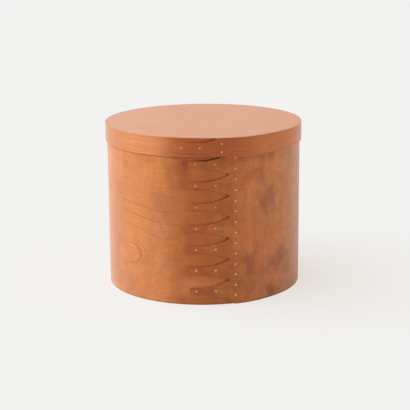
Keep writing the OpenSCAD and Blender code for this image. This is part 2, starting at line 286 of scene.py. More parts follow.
def lid_radii(t):
    """Inner and outer radius of the lid band at an angle that runs on past a full turn."""
    if t < LID_RAMP_END:
        turn = LID_RAMP_END - t
        full = ramp_radius(turn, LID_R, BODY_RISE, -LAP_GAP - LID_THICK)
        return ramp_radius(turn, LID_R, BODY_RISE, -LAP_GAP), min(full, arc_radius(t, *LID_FINGER_ARC))
    if t < LAP_END:
        return LID_R + BODY_RISE + LAP_GAP, LID_R + LID_RISE
    if t < LAP_END + RAMP:
        turn = t - LAP_END
        return ramp_radius(turn, LID_R, LID_RISE, LID_THICK), ramp_radius(turn, LID_R, LID_RISE)
    t = t - ROUND
    if t < LID_RAMP_START:
        return LID_IN_R, LID_R
    if t < LID_RAMP_END:
        turn = LID_RAMP_END - t
        return ramp_radius(turn, LID_R, BODY_RISE, LID_THICK), ramp_radius(turn, LID_R, BODY_RISE)
    if t < LAP_END:
        return LID_IN_R + BODY_RISE, LID_R + BODY_RISE
    turn = t - LAP_END
    return (ramp_radius(turn, LID_IN_R, BODY_RISE),
            ramp_radius(turn, LID_R, LID_RISE, LID_THICK + LAP_GAP))


def board_radius(angle):
    """Radius of the lid board's outline, which rises where the body laps."""
    r = LID_IN_R - FIT
    if LID_RAMP_START < angle < LID_RAMP_END:
        return ramp_radius(LID_RAMP_END - angle, r, BODY_RISE)
    if LID_RAMP_END <= angle <= LAP_END:
        return r + BODY_RISE
    if LAP_END < angle < LAP_END + RAMP:
        return ramp_radius(angle - LAP_END, r, BODY_RISE)
    return r


def bottom_radius(angle):
    return BODY_R - BODY_THICK - FIT


def arch_half_width(u, waist, half_width, tip, tip_half_width, arch):
    """Half the width of a finger at a place along it: rounded tip, straight part, then a flare."""
    d = u - tip
    if u > waist:
        run = min(u - waist, arch)
        return half_width + arch - math.sqrt(arch ** 2 - run ** 2)
    width = blend(tip_half_width, half_width, d / (waist - tip))
    if d < TIP_ROUND:
        width -= TIP_ROUND - math.sqrt(TIP_ROUND ** 2 - (TIP_ROUND - d) ** 2)
    return width


def arch_radius(length, gap):
    return (length ** 2 + gap ** 2) / (2 * gap)


BODY_ARCH = arch_radius(ARCH_LENGTH, FINGER_PITCH / 2 - FINGER_HALF_WIDTH)
LID_ARCH = arch_radius(LID_ARCH_LENGTH, (HEIGHT - LID_LOW) / 2 - LID_FINGER_HALF_WIDTH)


def body_fingers(u):
    """Lower and upper edge of each body finger at a place along the band."""
    half = arch_half_width(u, FINGER_WAIST, FINGER_HALF_WIDTH, -FINGER_LENGTH,
                           FINGER_TIP_HALF_WIDTH, BODY_ARCH)
    spans = []
    for i in range(FINGERS):
        low = LAP_MARGIN + FINGER_PITCH * i
        middle = low + FINGER_PITCH / 2
        bottom = 0.0 if i == 0 else low
        top = RIM if i == FINGERS - 1 else low + FINGER_PITCH
        spans.append((max(bottom, middle - half), min(top, middle + half)))
    return spans


def lid_fingers(u):
    """Lower and upper edge of the lid's finger at a place along the band."""
    half = arch_half_width(u, LID_FINGER_WAIST, LID_FINGER_HALF_WIDTH, -LID_FINGER_LENGTH,
                           LID_FINGER_TIP_HALF_WIDTH, LID_ARCH)
    return [(max(LID_LOW, LID_MID - half), min(HEIGHT, LID_MID + half))]


def body_cut(u, i):
    """Width of the lower and upper cut along a finger, and how dark they are."""
    lower = change(u, *LOWER_WIDTH) + change(u, *VALLEY_WIDTH)
    dark_lower = change(u, *LOWER_DARK)
    # The top finger's upper edge gets painted shade from the lid's edge as well as its cut line
    if i == FINGERS - 1:
        return lower, change(u, *TOP_WIDTH), dark_lower, change(u, *TOP_DARK)
    dark_upper = change(u, *UPPER_DARK) + change(u, *VALLEY_DARK)
    return lower, change(u, *UPPER_WIDTH), dark_lower, dark_upper * LINE_STRENGTHS[i]


def lid_cut(u, i):
    """The same for the lid's finger."""
    return PLAIN_EDGE, change(u, *LID_UPPER_WIDTH), LID_LOWER_DARK, change(u, *LID_UPPER_DARK)


def body_edge_marks(u):
    """Width and darkness of the body's lower edge, and darkness of its whole width."""
    return PLAIN_EDGE, 0.0, 0.0


def lid_edge_marks(u):
    """The same for the lid: painted shade on its lower edge where it meets the top finger's, and pale at
    its finger's end.
    """
    meets = change(u, *LID_MEETS) * change(u, *LID_PARTS)
    return blend(PLAIN_EDGE, LID_MEETS_WIDTH, meets), meets, change(u, *LID_END_DARK)


def edge_depth(distance, width):
    """How far a rounded edge lies below the face, at a distance from it."""
    x = min(1.0, max(0.0, distance / width))
    return width * (1 - math.sqrt(1 - (1 - x) ** 2))


def finger_rows(low, high, cut_low, cut_high, even_low, even_high):
    """Heights of a finger's rows: close together along a cut edge, and even where there is none."""
    step = (high - low) / ROWS
    a1 = blend(low + EDGE_ROW * cut_low, low + step, even_low)
    a2 = blend(low + cut_low, low + 2 * step, even_low)
    b1 = blend(high - EDGE_ROW * cut_high, high - step, even_high)
    b2 = blend(high - cut_high, high - 2 * step, even_high)
    inner = ROWS - 4
    middle = [blend(a2, b2, k / inner) for k in range(1, inner)]
    return [low, a1, a2] + middle + [b2, b1, high]


def band_stations(tip, valley, run_outs, end):
    """Places along a band at which its mesh is cut, close together round the tips and the lap."""
    quarter = [math.pi / 2 * k / TIP_STEPS for k in range(TIP_STEPS)]
    places = [tip + TIP_ROUND * (1 - math.cos(angle)) for angle in quarter]
    marks = [tip + TIP_ROUND] + sorted([valley] + run_outs) + [LAP_REACH + FINE_PAST_LAP, end]
    for a, b in zip(marks, marks[1:]):
        size = FINE_STEP if a < LAP_REACH else BAND_STEP
        count = max(1, round((b - a) / size))
        places += [blend(a, b, k / count) for k in range(count)]
    return places + [end]


def add_object(name, data):
    made = bpy.data.objects.new(name, data)
    bpy.context.scene.collection.objects.link(made)
    return made


def finish_mesh(name, verts, faces, grain, edge, body, node, material, cut=None):
    """A piece from points in millimetres with grain and edge values, dressed and seated in the frame."""
    mesh = bpy.data.meshes.new(name)
    mesh.from_pydata([v * MM for v in verts], [], faces)
    mesh.attributes.new("grain", "FLOAT_VECTOR", "POINT").data.foreach_set(
        "vector", [x for g in grain for x in g])
    mesh.attributes.new("edge", "FLOAT", "POINT").data.foreach_set("value", edge)
    mesh.shade_smooth()
    mesh.set_sharp_from_angle(angle=SHARP_ANGLE)
    piece = add_object(name, mesh)
    mesh.materials.append(material)
    if cut:
        mesh.materials.append(cut)
        for face in mesh.polygons:
            darkness = sum(edge[v] for v in face.vertices) / len(face.vertices)
            face.material_index = 1 if darkness > CUT_SHARE else 0
    piece.modifiers.new("Weighted normals", "WEIGHTED_NORMAL").keep_sharp = True
    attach(piece, body)
    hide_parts(node)


class BandMesh:
    """Mesh of one bent strip: an outer and an inner skin, joined along every cut edge."""

    def __init__(self, radii, fingers, cut, edge_marks, limits, r, tip, valley, run_outs, end):
        self.radii, self.fingers, self.cut, self.edge_marks = radii, fingers, cut, edge_marks
        self.limits, self.r, self.tip, self.valley = limits, r, tip, valley
        self.verts, self.grain, self.edge, self.faces = [], [], [], []
        self.outer, self.inner = {}, {}
        self.places = band_stations(tip, valley, run_outs, end)
        for j, u in enumerate(self.places):
            self.add_column(j, u)
        for j in range(len(self.places) - 1):
            self.join_columns(j)
        self.close_ends()

    def add_point(self, r, t, z, u, edge):
        self.verts.append(way(t) * r + Vector((0, 0, z)))
        self.grain.append((u, z, r - self.r))
        self.edge.append(edge)
        return len(self.verts) - 1

    def add_column(self, j, u):
        t = u / self.r
        r_in, r_out = self.radii(t)
        thick = r_out - r_in
        spans = self.fingers(u)
        even = smooth(u, self.valley, self.valley + EVEN_RUN)
        for i, (low, high) in enumerate(spans):
            first, last = i == 0, i == len(spans) - 1
            split = u <= self.valley + NEAR
            width_low, width_high, dark_low, dark_high = self.cut(u, i)
            rim_width, rim_dark, face_dark = self.edge_marks(u)
            if low < self.limits[0] + NEAR or not split:
                width_low, dark_low = rim_width, rim_dark
            if high > self.limits[1] - NEAR or not split:
                width_high, dark_high = PLAIN_EDGE, 0.0
            widest = min(EDGE_OF_THICK * thick, EDGE_OF_WIDTH * (high - low))
            width_low, width_high = min(width_low, widest), min(width_high, widest)
            rows = finger_rows(low, high, width_low, width_high, 0 if first else even, 0 if last else even)
            for k, z in enumerate(rows):
                if k == 0 and i > 0 and u >= self.valley - NEAR:
                    self.outer[j, i, 0] = self.outer[j, i - 1, ROWS]
                    self.inner[j, i, 0] = self.inner[j, i - 1, ROWS]
                    continue
                depth = edge_depth(u - self.tip, min(PLAIN_EDGE, TIP_OF_THICK * thick))
                dark = face_dark
                if first or split:
                    depth = max(depth, edge_depth(z - low, width_low))
                    dark += dark_low * max(0.0, 1 - (z - low) / width_low)
                if last or split:
                    depth = max(depth, edge_depth(high - z, width_high))
                    dark += dark_high * max(0.0, 1 - (high - z) / width_high)
                self.outer[j, i, k] = self.add_point(r_out - depth, t, z, u, dark)
                self.inner[j, i, k] = self.add_point(r_in, t, z, u, INNER_DARK * dark)

    def join_columns(self, j):
        o, n = self.outer, self.inner
        fingers = range(len(self.fingers(self.places[j])))
        apart = self.places[j + 1] <= self.valley + NEAR
        for i in fingers:
            for k in range(ROWS):
                self.faces.append((o[j, i, k], o[j + 1, i, k], o[j + 1, i, k + 1], o[j, i, k + 1]))
                self.faces.append((n[j, i, k], n[j, i, k + 1], n[j + 1, i, k + 1], n[j + 1, i, k]))
            if i == 0 or apart:
                self.faces.append((o[j, i, 0], n[j, i, 0], n[j + 1, i, 0], o[j + 1, i, 0]))
            if i == fingers[-1] or apart:
                k = ROWS
                self.faces.append((o[j, i, k], o[j + 1, i, k], n[j + 1, i, k], n[j, i, k]))

    def close_ends(self):
        o, n = self.outer, self.inner
        end = len(self.places) - 1
        for i in range(len(self.fingers(self.tip))):
            for k in range(ROWS):
                self.faces.append((o[0, i, k], o[0, i, k + 1], n[0, i, k + 1], n[0, i, k]))
                self.faces.append((o[end, i, k], n[end, i, k], n[end, i, k + 1], o[end, i, k + 1]))

    def finish(self, name, body, node, wood):
        finish_mesh(name, self.verts, self.faces, self.grain, self.edge,
                    body, node, wood, cut_wood(wood))


def run_to(gap, arch):
    """Length in which an arc that leaves a straight edge crosses a gap."""
    return math.sqrt(arch ** 2 - (arch - gap) ** 2)


def make_body_band(material):
    e = ramp_offset(BODY_RISE)
    end = ROUND + LAP_END + RAMP - feather_stop(0, e, BODY_R, BODY_THICK)
    low_run = FINGER_WAIST + run_to(LAP_MARGIN + FINGER_PITCH / 2 - FINGER_HALF_WIDTH, BODY_ARCH)
    high_gap = RIM - LAP_MARGIN - FINGER_PITCH * (FINGERS - 0.5) - FINGER_HALF_WIDTH
    high_run = FINGER_WAIST + run_to(high_gap, BODY_ARCH)
    band = BandMesh(body_radii, body_fingers, body_cut, body_edge_marks, (0.0, RIM), BODY_R, -FINGER_LENGTH,
                    VALLEY, [low_run, high_run], end * BODY_R)
    band.finish("bent_body_band", "box", "body_band", material)


def make_lid_band(material):
    stop = feather_stop(ramp_offset(BODY_RISE), ramp_offset(LID_RISE), LID_R, LID_THICK)
    end = ROUND + LAP_END + RAMP - stop
    run_out = LID_FINGER_WAIST + LID_ARCH_LENGTH
    band = BandMesh(lid_radii, lid_fingers, lid_cut, lid_edge_marks, (LID_LOW, HEIGHT), LID_R,
                    -LID_FINGER_LENGTH, run_out, [], end * LID_R)
    band.finish("bent_lid_band", "lid", "lid_band", material)


def join_loops(faces, first, count, sides, clockwise=False, closed=True):
    """Adds the faces between loops of points, and closes the first and last of them."""
    for j in range(count - 1):
        for k in range(sides):
            a, b = first + j * sides + k, first + j * sides + (k + 1) % sides
            faces.append((a, a + sides, b + sides, b) if clockwise else (a, b, b + sides, a + sides))
    if closed:
        last = first + (count - 1) * sides
        for start, turned in ((first, not clockwise), (last, clockwise)):
            loop = range(start, start + sides)
            faces.append(tuple(reversed(loop) if turned else loop))


def make_board(name, radius, low, high, body, node, material):
    """Round board with softened edges, as rings of points from its middle out and back under."""
    corner = [math.pi / 2 * k / CORNER_STEPS for k in range(CORNER_STEPS + 1)]
    loops = [(share, 0.0, 0.0) for share in BOARD_RINGS]
    loops += [(1.0, -BOARD_EASE * (1 - math.sin(a)), -BOARD_EASE * (1 - math.cos(a))) for a in corner]
    levels = [(share, inset, high + drop) for share, inset, drop in loops]
    levels += [(share, inset, low - drop) for share, inset, drop in reversed(loops)]
    verts, faces = [], []
    for share, inset, z in levels:
        for k in range(BOARD_SIDES):
            angle = ROUND * k / BOARD_SIDES - math.pi / 2
            verts.append(way(angle) * (radius(angle) * share + inset) + Vector((0, 0, z)))
    join_loops(faces, 0, len(levels), BOARD_SIDES, clockwise=True, closed=False)
    for loop, z, flip in ((0, high, False), (len(levels) - 1, low, True)):
        verts.append(Vector((0, 0, z)))
        for k in range(BOARD_SIDES):
            a, b = loop * BOARD_SIDES + k, loop * BOARD_SIDES + (k + 1) % BOARD_SIDES
            faces.append((len(verts) - 1, b, a) if flip else (len(verts) - 1, a, b))
    grain = [tuple(v) for v in verts]
    finish_mesh(name, verts, faces, grain, [0.0] * len(verts), body, node, material)


def lathe(profile, sides, seat, verts, faces, wobble=None):
    """Adds a turned shape, closed at both ends: a profile of radius and height about the seat's Z."""
    first = len(verts)
    for r, h in profile:
        for k in range(sides):
            angle = ROUND * k / sides
            scale = wobble(angle) if wobble else 1.0
            verts.append(seat @ Vector((r * scale * math.cos(angle), r * scale * math.sin(angle), h)))
    join_loops(faces, first, len(profile), sides)


def seat_on(point, angle):
    """Frame at a point on a band: X along it, Y up and Z outwards."""
    out = way(angle)
    side = Vector((math.cos(angle), math.sin(angle), 0))
    up = Vector((0, 0, 1))
    return Matrix.Translation(point) @ Matrix((side, up, out)).transposed().to_4x4()


def add_tack(seat, length, verts, faces, rng):
    """One tack: a hammered domed head, its shank, and a tip that is turned over on the inner face."""
    ball = (TACK_R ** 2 + TACK_DOME ** 2) / (2 * TACK_DOME)
    lean = rng.uniform(-HAMMERED, HAMMERED)
    phase = rng.uniform(0, ROUND)

    def wobble(angle):
        return 1 - HAMMERED * (1 + math.sin(2 * angle + phase))

    dome = [(TACK_R * x, TACK_DOME - ball + math.sqrt(ball ** 2 - (TACK_R * x) ** 2))
            for x in DOME_RINGS]
    shank = [(TACK_SHANK_R * TACK_POINT, CLINCH_PROUD / 2 - length), (TACK_SHANK_R, TACK_TAPER - length),
             (TACK_SHANK_R, -TACK_SINK)]
    profile = shank + [(TACK_R * HEAD_UNDER, -TACK_SINK), (TACK_R, -HEAD_EDGE)] + dome
    lathe(profile, TACK_SIDES, seat @ Matrix.Rotation(lean, 4, "X"), verts, faces, wobble)
    first = len(verts)
    front = -length + CLINCH_SUNK
    for y, half, lift in CLINCH_SECTIONS:
        back = -length - CLINCH_PROUD + lift
        flat = half * CLINCH_TAPER
        for x, z in ((-half, front), (half, front), (flat, back), (-flat, back)):
            verts.append(seat @ Vector((x, y, z)))
    join_loops(faces, first, len(CLINCH_SECTIONS), 4, clockwise=True)


def make_tacks(name, seats, body, node, dulling, material):
    """A group of tacks as one piece, from their seats and lengths. They get duller with height."""
    verts, faces, tint = [], [], []
    rng = random.Random(SEED + len(name))
    for seat, length in seats:
        add_tack(seat, length, verts, faces, rng)
        shade = dulling * seat.translation.z / HEIGHT + DULLING_SPREAD * rng.random()
        tint += [shade] * (len(verts) - len(tint))
    grain = [tuple(v) for v in verts]
    finish_mesh(name, verts, faces, grain, tint, body, node, material)


def body_seat(u, z):
    """Seat on the body's outer layer, measured along its thinned finger and its lap."""
    if u < 0:
        centre, r = BODY_FINGER_ARC
        angle = u / r
    else:
        centre, r = Vector(), BODY_R + BODY_RISE
        angle = u / BODY_R
    return seat_on(centre + way(angle) * r + Vector((0, 0, z)), angle)


def lid_seat(u, z):
    """Seat on the lid's outer layer, measured along its thinned finger, its rise and its lap."""
    e = ramp_offset(BODY_RISE)
    top = LID_R + LAP_GAP + LID_THICK
    crest_r = top + BODY_RISE - e
    crest = crest_r * RAMP / 2
    s = u + LID_FINGER_LENGTH + RAMP_LEAD
    if s < LID_SLOPE:
        centre, r = LID_FINGER_ARC
        angle = LID_RAMP_MID - (LID_SLOPE - s) / r
    elif s < LID_SLOPE + crest:
        centre, r = way(LID_RAMP_END) * e, crest_r
        angle = LID_RAMP_MID + (s - LID_SLOPE) / r
    else:
        centre, r = Vector(), top + BODY_RISE
        angle = LID_RAMP_END + (s - LID_SLOPE - crest) / r
    return seat_on(centre + way(angle) * r + Vector((0, 0, z)), angle)


def make_all_tacks(material):
    through = 2 * BODY_THICK + LAP_GAP
    tip_through = through - (BODY_THICK - FINGER_TIP_THICK) * (TIP_TACK / FINGER_LENGTH) ** 2
    lid_through = 2 * LID_THICK + LAP_GAP
    middles = [LAP_MARGIN + FINGER_PITCH * (i + 0.5) for i in range(FINGERS)]
    side = FINGER_PITCH / 2 - ROOT_TACK_INSET
    make_tacks("tip_tack_heads", [(body_seat(TIP_TACK, z), tip_through) for z in middles],
               "box", "finger_tip_tacks", FINGER_DULLING, material)
    make_tacks("waist_tack_heads", [(body_seat(WAIST_TACK, z), through) for z in middles],
               "box", "finger_waist_tacks", FINGER_DULLING, material)
    pairs = [z + d for z in middles for d in (-side, side)]
    make_tacks("root_tack_heads", [(body_seat(ROOT_TACK, z), through) for z in pairs],
               "box", "finger_root_tacks", ROOT_DULLING, material)
    make_tacks("lid_finger_tack_heads", [(lid_seat(LID_TIP_TACK, LID_MID), lid_through - LID_TIP_TACK_DROP),
                                         (lid_seat(LID_WAIST_TACK, LID_MID), lid_through)],
               "lid", "lid_finger_tacks", LID_DULLING, material)
    pair = [LID_MID - LID_ROOT_TACK_HALF_SPACING, LID_MID + LID_ROOT_TACK_HALF_SPACING]
    make_tacks("lid_root_tack_heads", [(lid_seat(LID_ROOT_TACK, z), lid_through) for z in pair],
               "lid", "lid_root_tacks", LID_DULLING, material)


def make_pegs(name, r, z, body, node, material):
    """Pegs that point at the axis, set evenly round a band from its ramp back to its lap."""
    verts, faces, edge = [], [], []
    first, last = LAP_END + RAMP + PEG_MARGIN, ROUND + LID_RAMP_START - PEG_MARGIN
    profile = [(PEG_R * share, height) for share, height, dark in PEG_PROFILE]
    for i in range(PEGS):
        angle = blend(first, last, i / (PEGS - 1))
        seat = seat_on(way(angle) * r + Vector((0, 0, z)), angle)
        lathe(profile, PEG_SIDES, seat, verts, faces)
        edge += [dark for share, height, dark in PEG_PROFILE for k in range(PEG_SIDES)]
    grain = [tuple(v) for v in verts]
    finish_mesh(name, verts, faces, grain, edge, body, node, material)


def srgb(r, g, b):
    """A colour given as 0 to 255 in sRGB, as Blender's linear RGBA."""
    def linear(x):
        x /= 255
        return x / 12.92 if x <= 0.04045 else ((x + 0.055) / 1.055) ** 2.4
    return linear(r), linear(g), linear(b), 1.0


# Colours of the wood and the copper
SHEEN_TINT = srgb(255, 248, 246)
CUT_EDGE = srgb(104, 42, 8)
# Painted light: a pale colour for lower cut edges that offsets their shade, also used at the lid finger's
# end
PAINTED_LIGHT_EDGE = srgb(216, 142, 86)
# Painted shade: the dark line under the lid's lower edge and along the foot
LID_LINE = srgb(118, 58, 22)
OCHRE = srgb(196, 124, 58)
PALE_RING = srgb(232, 152, 92)
AMBER_GOLD = srgb(226, 140, 74)
GOLD = srgb(211, 131, 77)
AMBER = srgb(202, 121, 65)
DUN = srgb(196, 122, 74)
HONEY = srgb(200, 114, 53)
RUSSET = srgb(181, 96, 32)
FINGER_TIP = srgb(160, 78, 28)
RING = srgb(152, 80, 38)
PLUM = srgb(140, 67, 42)
ROSE = srgb(208, 106, 60)
PORE = srgb(104, 52, 22)
RUST = srgb(132, 52, 14)
LID_GOLD = srgb(230, 146, 90)
LID_HONEY = srgb(204, 112, 45)
LID_RUSSET = srgb(173, 85, 30)
LID_ORANGE = srgb(224, 118, 30)
BOARD = srgb(211, 139, 98)
# Painted light and painted shade: a board's left side lighter and its right side darker
BOARD_PAINTED_LIGHT = srgb(217, 150, 110)
BOARD_PAINTED_SHADE = srgb(205, 136, 94)
BOARD_RING = srgb(160, 97, 66)
PEG_PALE = srgb(214, 132, 76)
PEG_RED = srgb(192, 113, 62)
COPPER_BRIGHT = srgb(255, 204, 158)
COPPER_WORN = srgb(238, 164, 114)
COPPER_DULL = srgb(202, 124, 76)

# Gloss of each wood as roughness, IOR and sheen, what its edges add, relief, and the copper's values
BAND_GLOSS = (0.32, 1.38, 0.26)
BOARD_GLOSS = (0.36, 1.65, 0.0)
PEG_GLOSS = (0.5, 1.38, 0.0)
CUT_IOR = 1.2
CUT_DULLS = 0.6
# Extra roughness on the pale edges, which are painted light
PALE_EDGE_DULLS = 1.4
SMOOTHER = 0.05
ROUGHER = 0.07
WOOD_RELIEF = 0.03
LINE_RELIEF = 0.5
COPPER_METAL = 0.6
COPPER_ROUGH = (0.3, 0.7, 0.3, 0.45)
COPPER_RELIEF = 0.05

# Textures: length along the grain and width across it in millimetres, detail and seed
PORES = (5, 0.2, 1.0, 12.3)
FLAME_BENDS = (75, 28, 1.0, 3.1)
FLAME_SHAKES = (18, 8, 1.0, 8.4)
LINE_WEAR = (35, 10, 1.0, 0.3)
BODY_LINES = (90, 1.5, 2.0, 1.7)
BODY_FIBRE = (9, 0.3, 3.0, 5.2)
BODY_SILK = (12, 90, 2.0, 4.4)
BODY_CLOUD = (40, 30, 3.0, 2.6)
BODY_MOTTLE = (13, 16, 4.0, 6.6)
BODY_NET = (5, 9, 3.0, 9.1)
BODY_PALE = (20, 11, 3.0, 7.3)
LID_BENDS = (120, 20, 1.0, 2.2)
LID_LINES = (130, 1.1, 2.0, 7.7)
LID_FIBRE = (9, 0.3, 3.0, 5.9)
LID_SILK = (15, 90, 2.0, 1.4)
BOARD_BENDS = (160, 45, 1.0, 0.0)
BOARD_LINES = (90, 1.8, 2.0, 3.3)
BOARD_FIBRE = (10, 0.3, 3.0, 0.6)
BOARD_SILK = (20, 90, 2.0, 2.9)
BOTTOM_SHIFT = 11.0
PEG_RAYS = (0.5, 0.5, 3.0, 1.0)
COPPER_CLOUD = (1.1, 1.1, 3.0, 1.0)
COPPER_DENTS = (0.6, 0.6, 2.0, 4.0)

# Tones: how far a texture lightens and darkens; a pair is for the right side and the left
LINE_TONE = 0.06
FIBRE_TONE = 0.11
SILK_TONE = (0.2, 0.1)
MOTTLE_TONE = 0.2
NET_TONE = (0.24, 0.13)
PALE_TONE = (1.0, 0.2)
LID_LINE_TONE = (0.2, 0.12)
LID_FIBRE_TONE = 0.08
LID_SILK_TONE = 0.1
BOARD_TONES = (0.13, 0.09, 0.08)

# Growth rings: spacing, bend and shake in millimetres, how strongly they show, and the shade across one
RING_SPACING = 5.2
RING_BEND = 6.0
RING_SHAKE = 1.6
RING_SHOWS = (0.03, 0.1)
LID_RING_SPACING = 2.9
LID_RING_BEND = 6.0
LID_RING_SHOWS = 0.14
BOARD_RING_SPACING = 6.0
BOARD_RING_BEND = 40.0
BOARD_RING_SHOWS = 0.25
FAINTEST_RING = 0.1
RING_SHADES = ((0.0, 0.1), (0.4, 0.25), (0.8, 0.75), (0.9, 1.0), (1.0, 0.1))

# Length of a full turn of each band
BODY_TURN = ROUND * BODY_R
LID_TURN = ROUND * LID_R

# The flame figure: its eye, its shape, and the lines above it as distance and strength
EYE = BODY_TURN - 98.0
EYE_HEIGHT = 57.0
EYE_RADIUS = 13.5
EYE_LINE = 2.4
EYE_SOFT = 8.0
EYE_UNDER = 0.8
EYE_TAIL = (EYE - 50, EYE - 10)
EYE_GLOW = (EYE - 6, EYE + 4, 0.35)
EYE_GLOW_LINE = (EYE_RADIUS - 4, 3.0)
FLAME_REACH = 25.0
FLAME_SPREAD = 0.13
FLAME_BLUNT = 4.0
FLAME_SHOWS = 0.34
LINES_ABOVE = ((34.5, 0.6), (51.0, 1.0), (63.5, 1.0))
LINES_BEND = 2.5
LINES_WIDTH = 1.3
LINES_SOFT = 9.0
LINES_FADE = (EYE - 32, EYE - 8, 0.2, 1.0)
LINES_WORN = (0.35, 0.65, 0.7, 1.7)

# Soft changes: start and end, then the most that they reach or the value at each
LEFT_SIDE = (250, 600)
CLOUDS = (0.4, 0.7, 0.8)
PALE_MARKS = (0.5, 0.68, 0.5)
HIGH_LEFT = (125, 165, 0.55)
HIGH_LINES = (105, 150, 0.0, 0.03)
OUTER_END = (32, -8, 0.5)
# Painted light: the inner layer paler in the openings, offsetting their shade
INNER_END = (BODY_TURN + 4, BODY_TURN + 22, 0.35)
# Painted shade: darker along the body's bottom edge
FOOT_SHADE = (2.2, 0.4, 0.55)
# Painted shade: a line on the body just under the lid's lower edge, stronger towards the lap
UNDER_LID_SHADE = (BODY_TURN - 120, BODY_TURN - 40, 0.05, 0.4)
UNDER_LID_SHADE_LINE = (LID_LOW - 0.4, 2.0)
BODY_LAP = (BODY_TURN - 68, BODY_TURN - 10, 62, 20)
LID_LAP = (LID_TURN - 66, LID_TURN - 26, 82, 18)
LID_LEFT = (LID_TURN - 160, LID_TURN - 100)
LID_FAR_LEFT = (LID_TURN - 92, LID_TURN - 112, 0.15)
LID_FAR_RIGHT = (96, 140, 0.5)
LID_OUTER_END = (-14, -30, 0.35)
LID_FRONT = (0.0, 0.3, 1.0, 0.0)
# Painted light on a board's left side and painted shade on its right side
PAINTED_LIGHT_SIDE = (-10, -115)
PAINTED_SHADE_SIDE = (20, 115)
PORES_SHOW = (0.6, 0.72, 0.0, 0.3)
SATIN = (0.2, 0.8)
CONTRAST = (0.25, 0.75)
RAYS = (0.35, 0.65)
COPPER_WEAR = (0.35, 0.75)
PATCH_EDGE = (-0.4, 2.0)
PATCH_WARP = (-0.9, 0.9)

# Patches of colour: place, height, half length, half height and strength
DARK_PATCHES = (
    (107, 46, 16, 17, 0.72),
    (120, 33, 11, 9, 0.4),
    (84, 126, 17, 17, 0.48),
    (60, 52, 9, 14, 0.45),
    (76, 38, 22, 7, 0.3),
    (70, 159, 18, 8, 0.34),
    (40, 54, 16, 14, 0.22),
    (27, 36, 10, 8, 0.3),
    (63, 67, 8, 10, 0.34),
    (50, 24, 14, 12, 0.25),
    # The next two rows are painted shade under the lid's lower edge
    (72, 182, 25, 6, 0.45),
    (10, 176, 18, 6, 0.35),
    (-3, 17, 17, 5, 0.4),
)
RED_PATCHES = (
    (BODY_TURN - 21, 176, 4.5, 6, 0.6),
    (BODY_TURN - 19, 98, 7, 8, 0.25),
    (BODY_TURN - 19, 70, 7, 8, 0.3),
    (BODY_TURN - 18, 44, 7, 8, 0.35),
    (BODY_TURN - 34, 165, 15, 24, 0.38),
    (91, 8, 10, 9, 0.5),
    (BODY_TURN - 30, 8, 8, 8, 0.12),
)
ROSE_PATCHES = (
    (88, 32, 48, 30, 0.4),
    # Painted shade: a redder tint under the lid's lower edge at the left
    (BODY_TURN - 105, 178, 36, 9, 0.5),
)
GOLD_PATCHES = (
    (BODY_TURN - 93, 100, 22, 45, 0.75),
    (BODY_TURN - 82, 125, 11, 75, 0.4),
    (BODY_TURN - 105, 172, 30, 10, 0.35),
    (BODY_TURN - 41, 19, 8, 7, 0.6),
    (108, 166, 24, 7, 0.5),
    (138, 125, 16, 28, 0.4),
)
AMBER_PATCHES = ((BODY_TURN - 8, 22, 34, 12, 1.0),)
DUN_PATCHES = ((BODY_TURN - 150, 24, 50, 30, 0.6),)
LID_PATCHES = ((LID_TURN - 29, LID_MID, 11, 60, 0.35),)


class Nodes:
    """Short ways to add nodes to a tree."""

    def __init__(self, tree):
        self.tree = tree

    def node(self, kind, **inputs):
        made = self.tree.nodes.new(kind)
        for name, value in inputs.items():
            self.feed(made.inputs[name], value)
        return made

    def feed(self, socket, value):
        if isinstance(value, bpy.types.NodeSocket):
            self.tree.links.new(value, socket)
        else:
            socket.default_value = value

    def math(self, operation, a, b=0.0, clamp=False):
        made = self.node("ShaderNodeMath")
        made.operation = operation
        made.use_clamp = clamp
        self.feed(made.inputs[0], a)
        self.feed(made.inputs[1], b)
        return made.outputs[0]

    def plus(self, a, b):
        return self.math("ADD", a, b)

    def minus(self, a, b):
        return self.math("SUBTRACT", a, b)

    def times(self, a, b):
        return self.math("MULTIPLY", a, b)

    def over(self, a, b):
        return self.math("DIVIDE", a, b)

    def most(self, a, b):
        return self.math("MAXIMUM", a, b)

    def range(self, value, start, end, low=0.0, high=1.0, smooth_step=False):
        """Takes a value from one range to another and keeps it there."""
        made = self.node("ShaderNodeMapRange")
        made.interpolation_type = "SMOOTHSTEP" if smooth_step else "LINEAR"
        self.feed(made.inputs["Value"], value)
        for name, number in (("From Min", start), ("From Max", end), ("To Min", low), ("To Max", high)):
            self.feed(made.inputs[name], number)
        return made.outputs["Result"]

    def rise(self, value, start, end, high=1.0):
        """0 where a value is at the start, and smoothly up to high at the end."""
        return self.range(value, start, end, 0.0, high, True)

    def mix(self, share, a, b, kind="MIX"):
        made = self.node("ShaderNodeMix")
        made.data_type = "RGBA"
        made.blend_type = kind
        self.feed(made.inputs[0], share)
        self.feed(made.inputs[6], a)
        self.feed(made.inputs[7], b)
        return made.outputs[2]


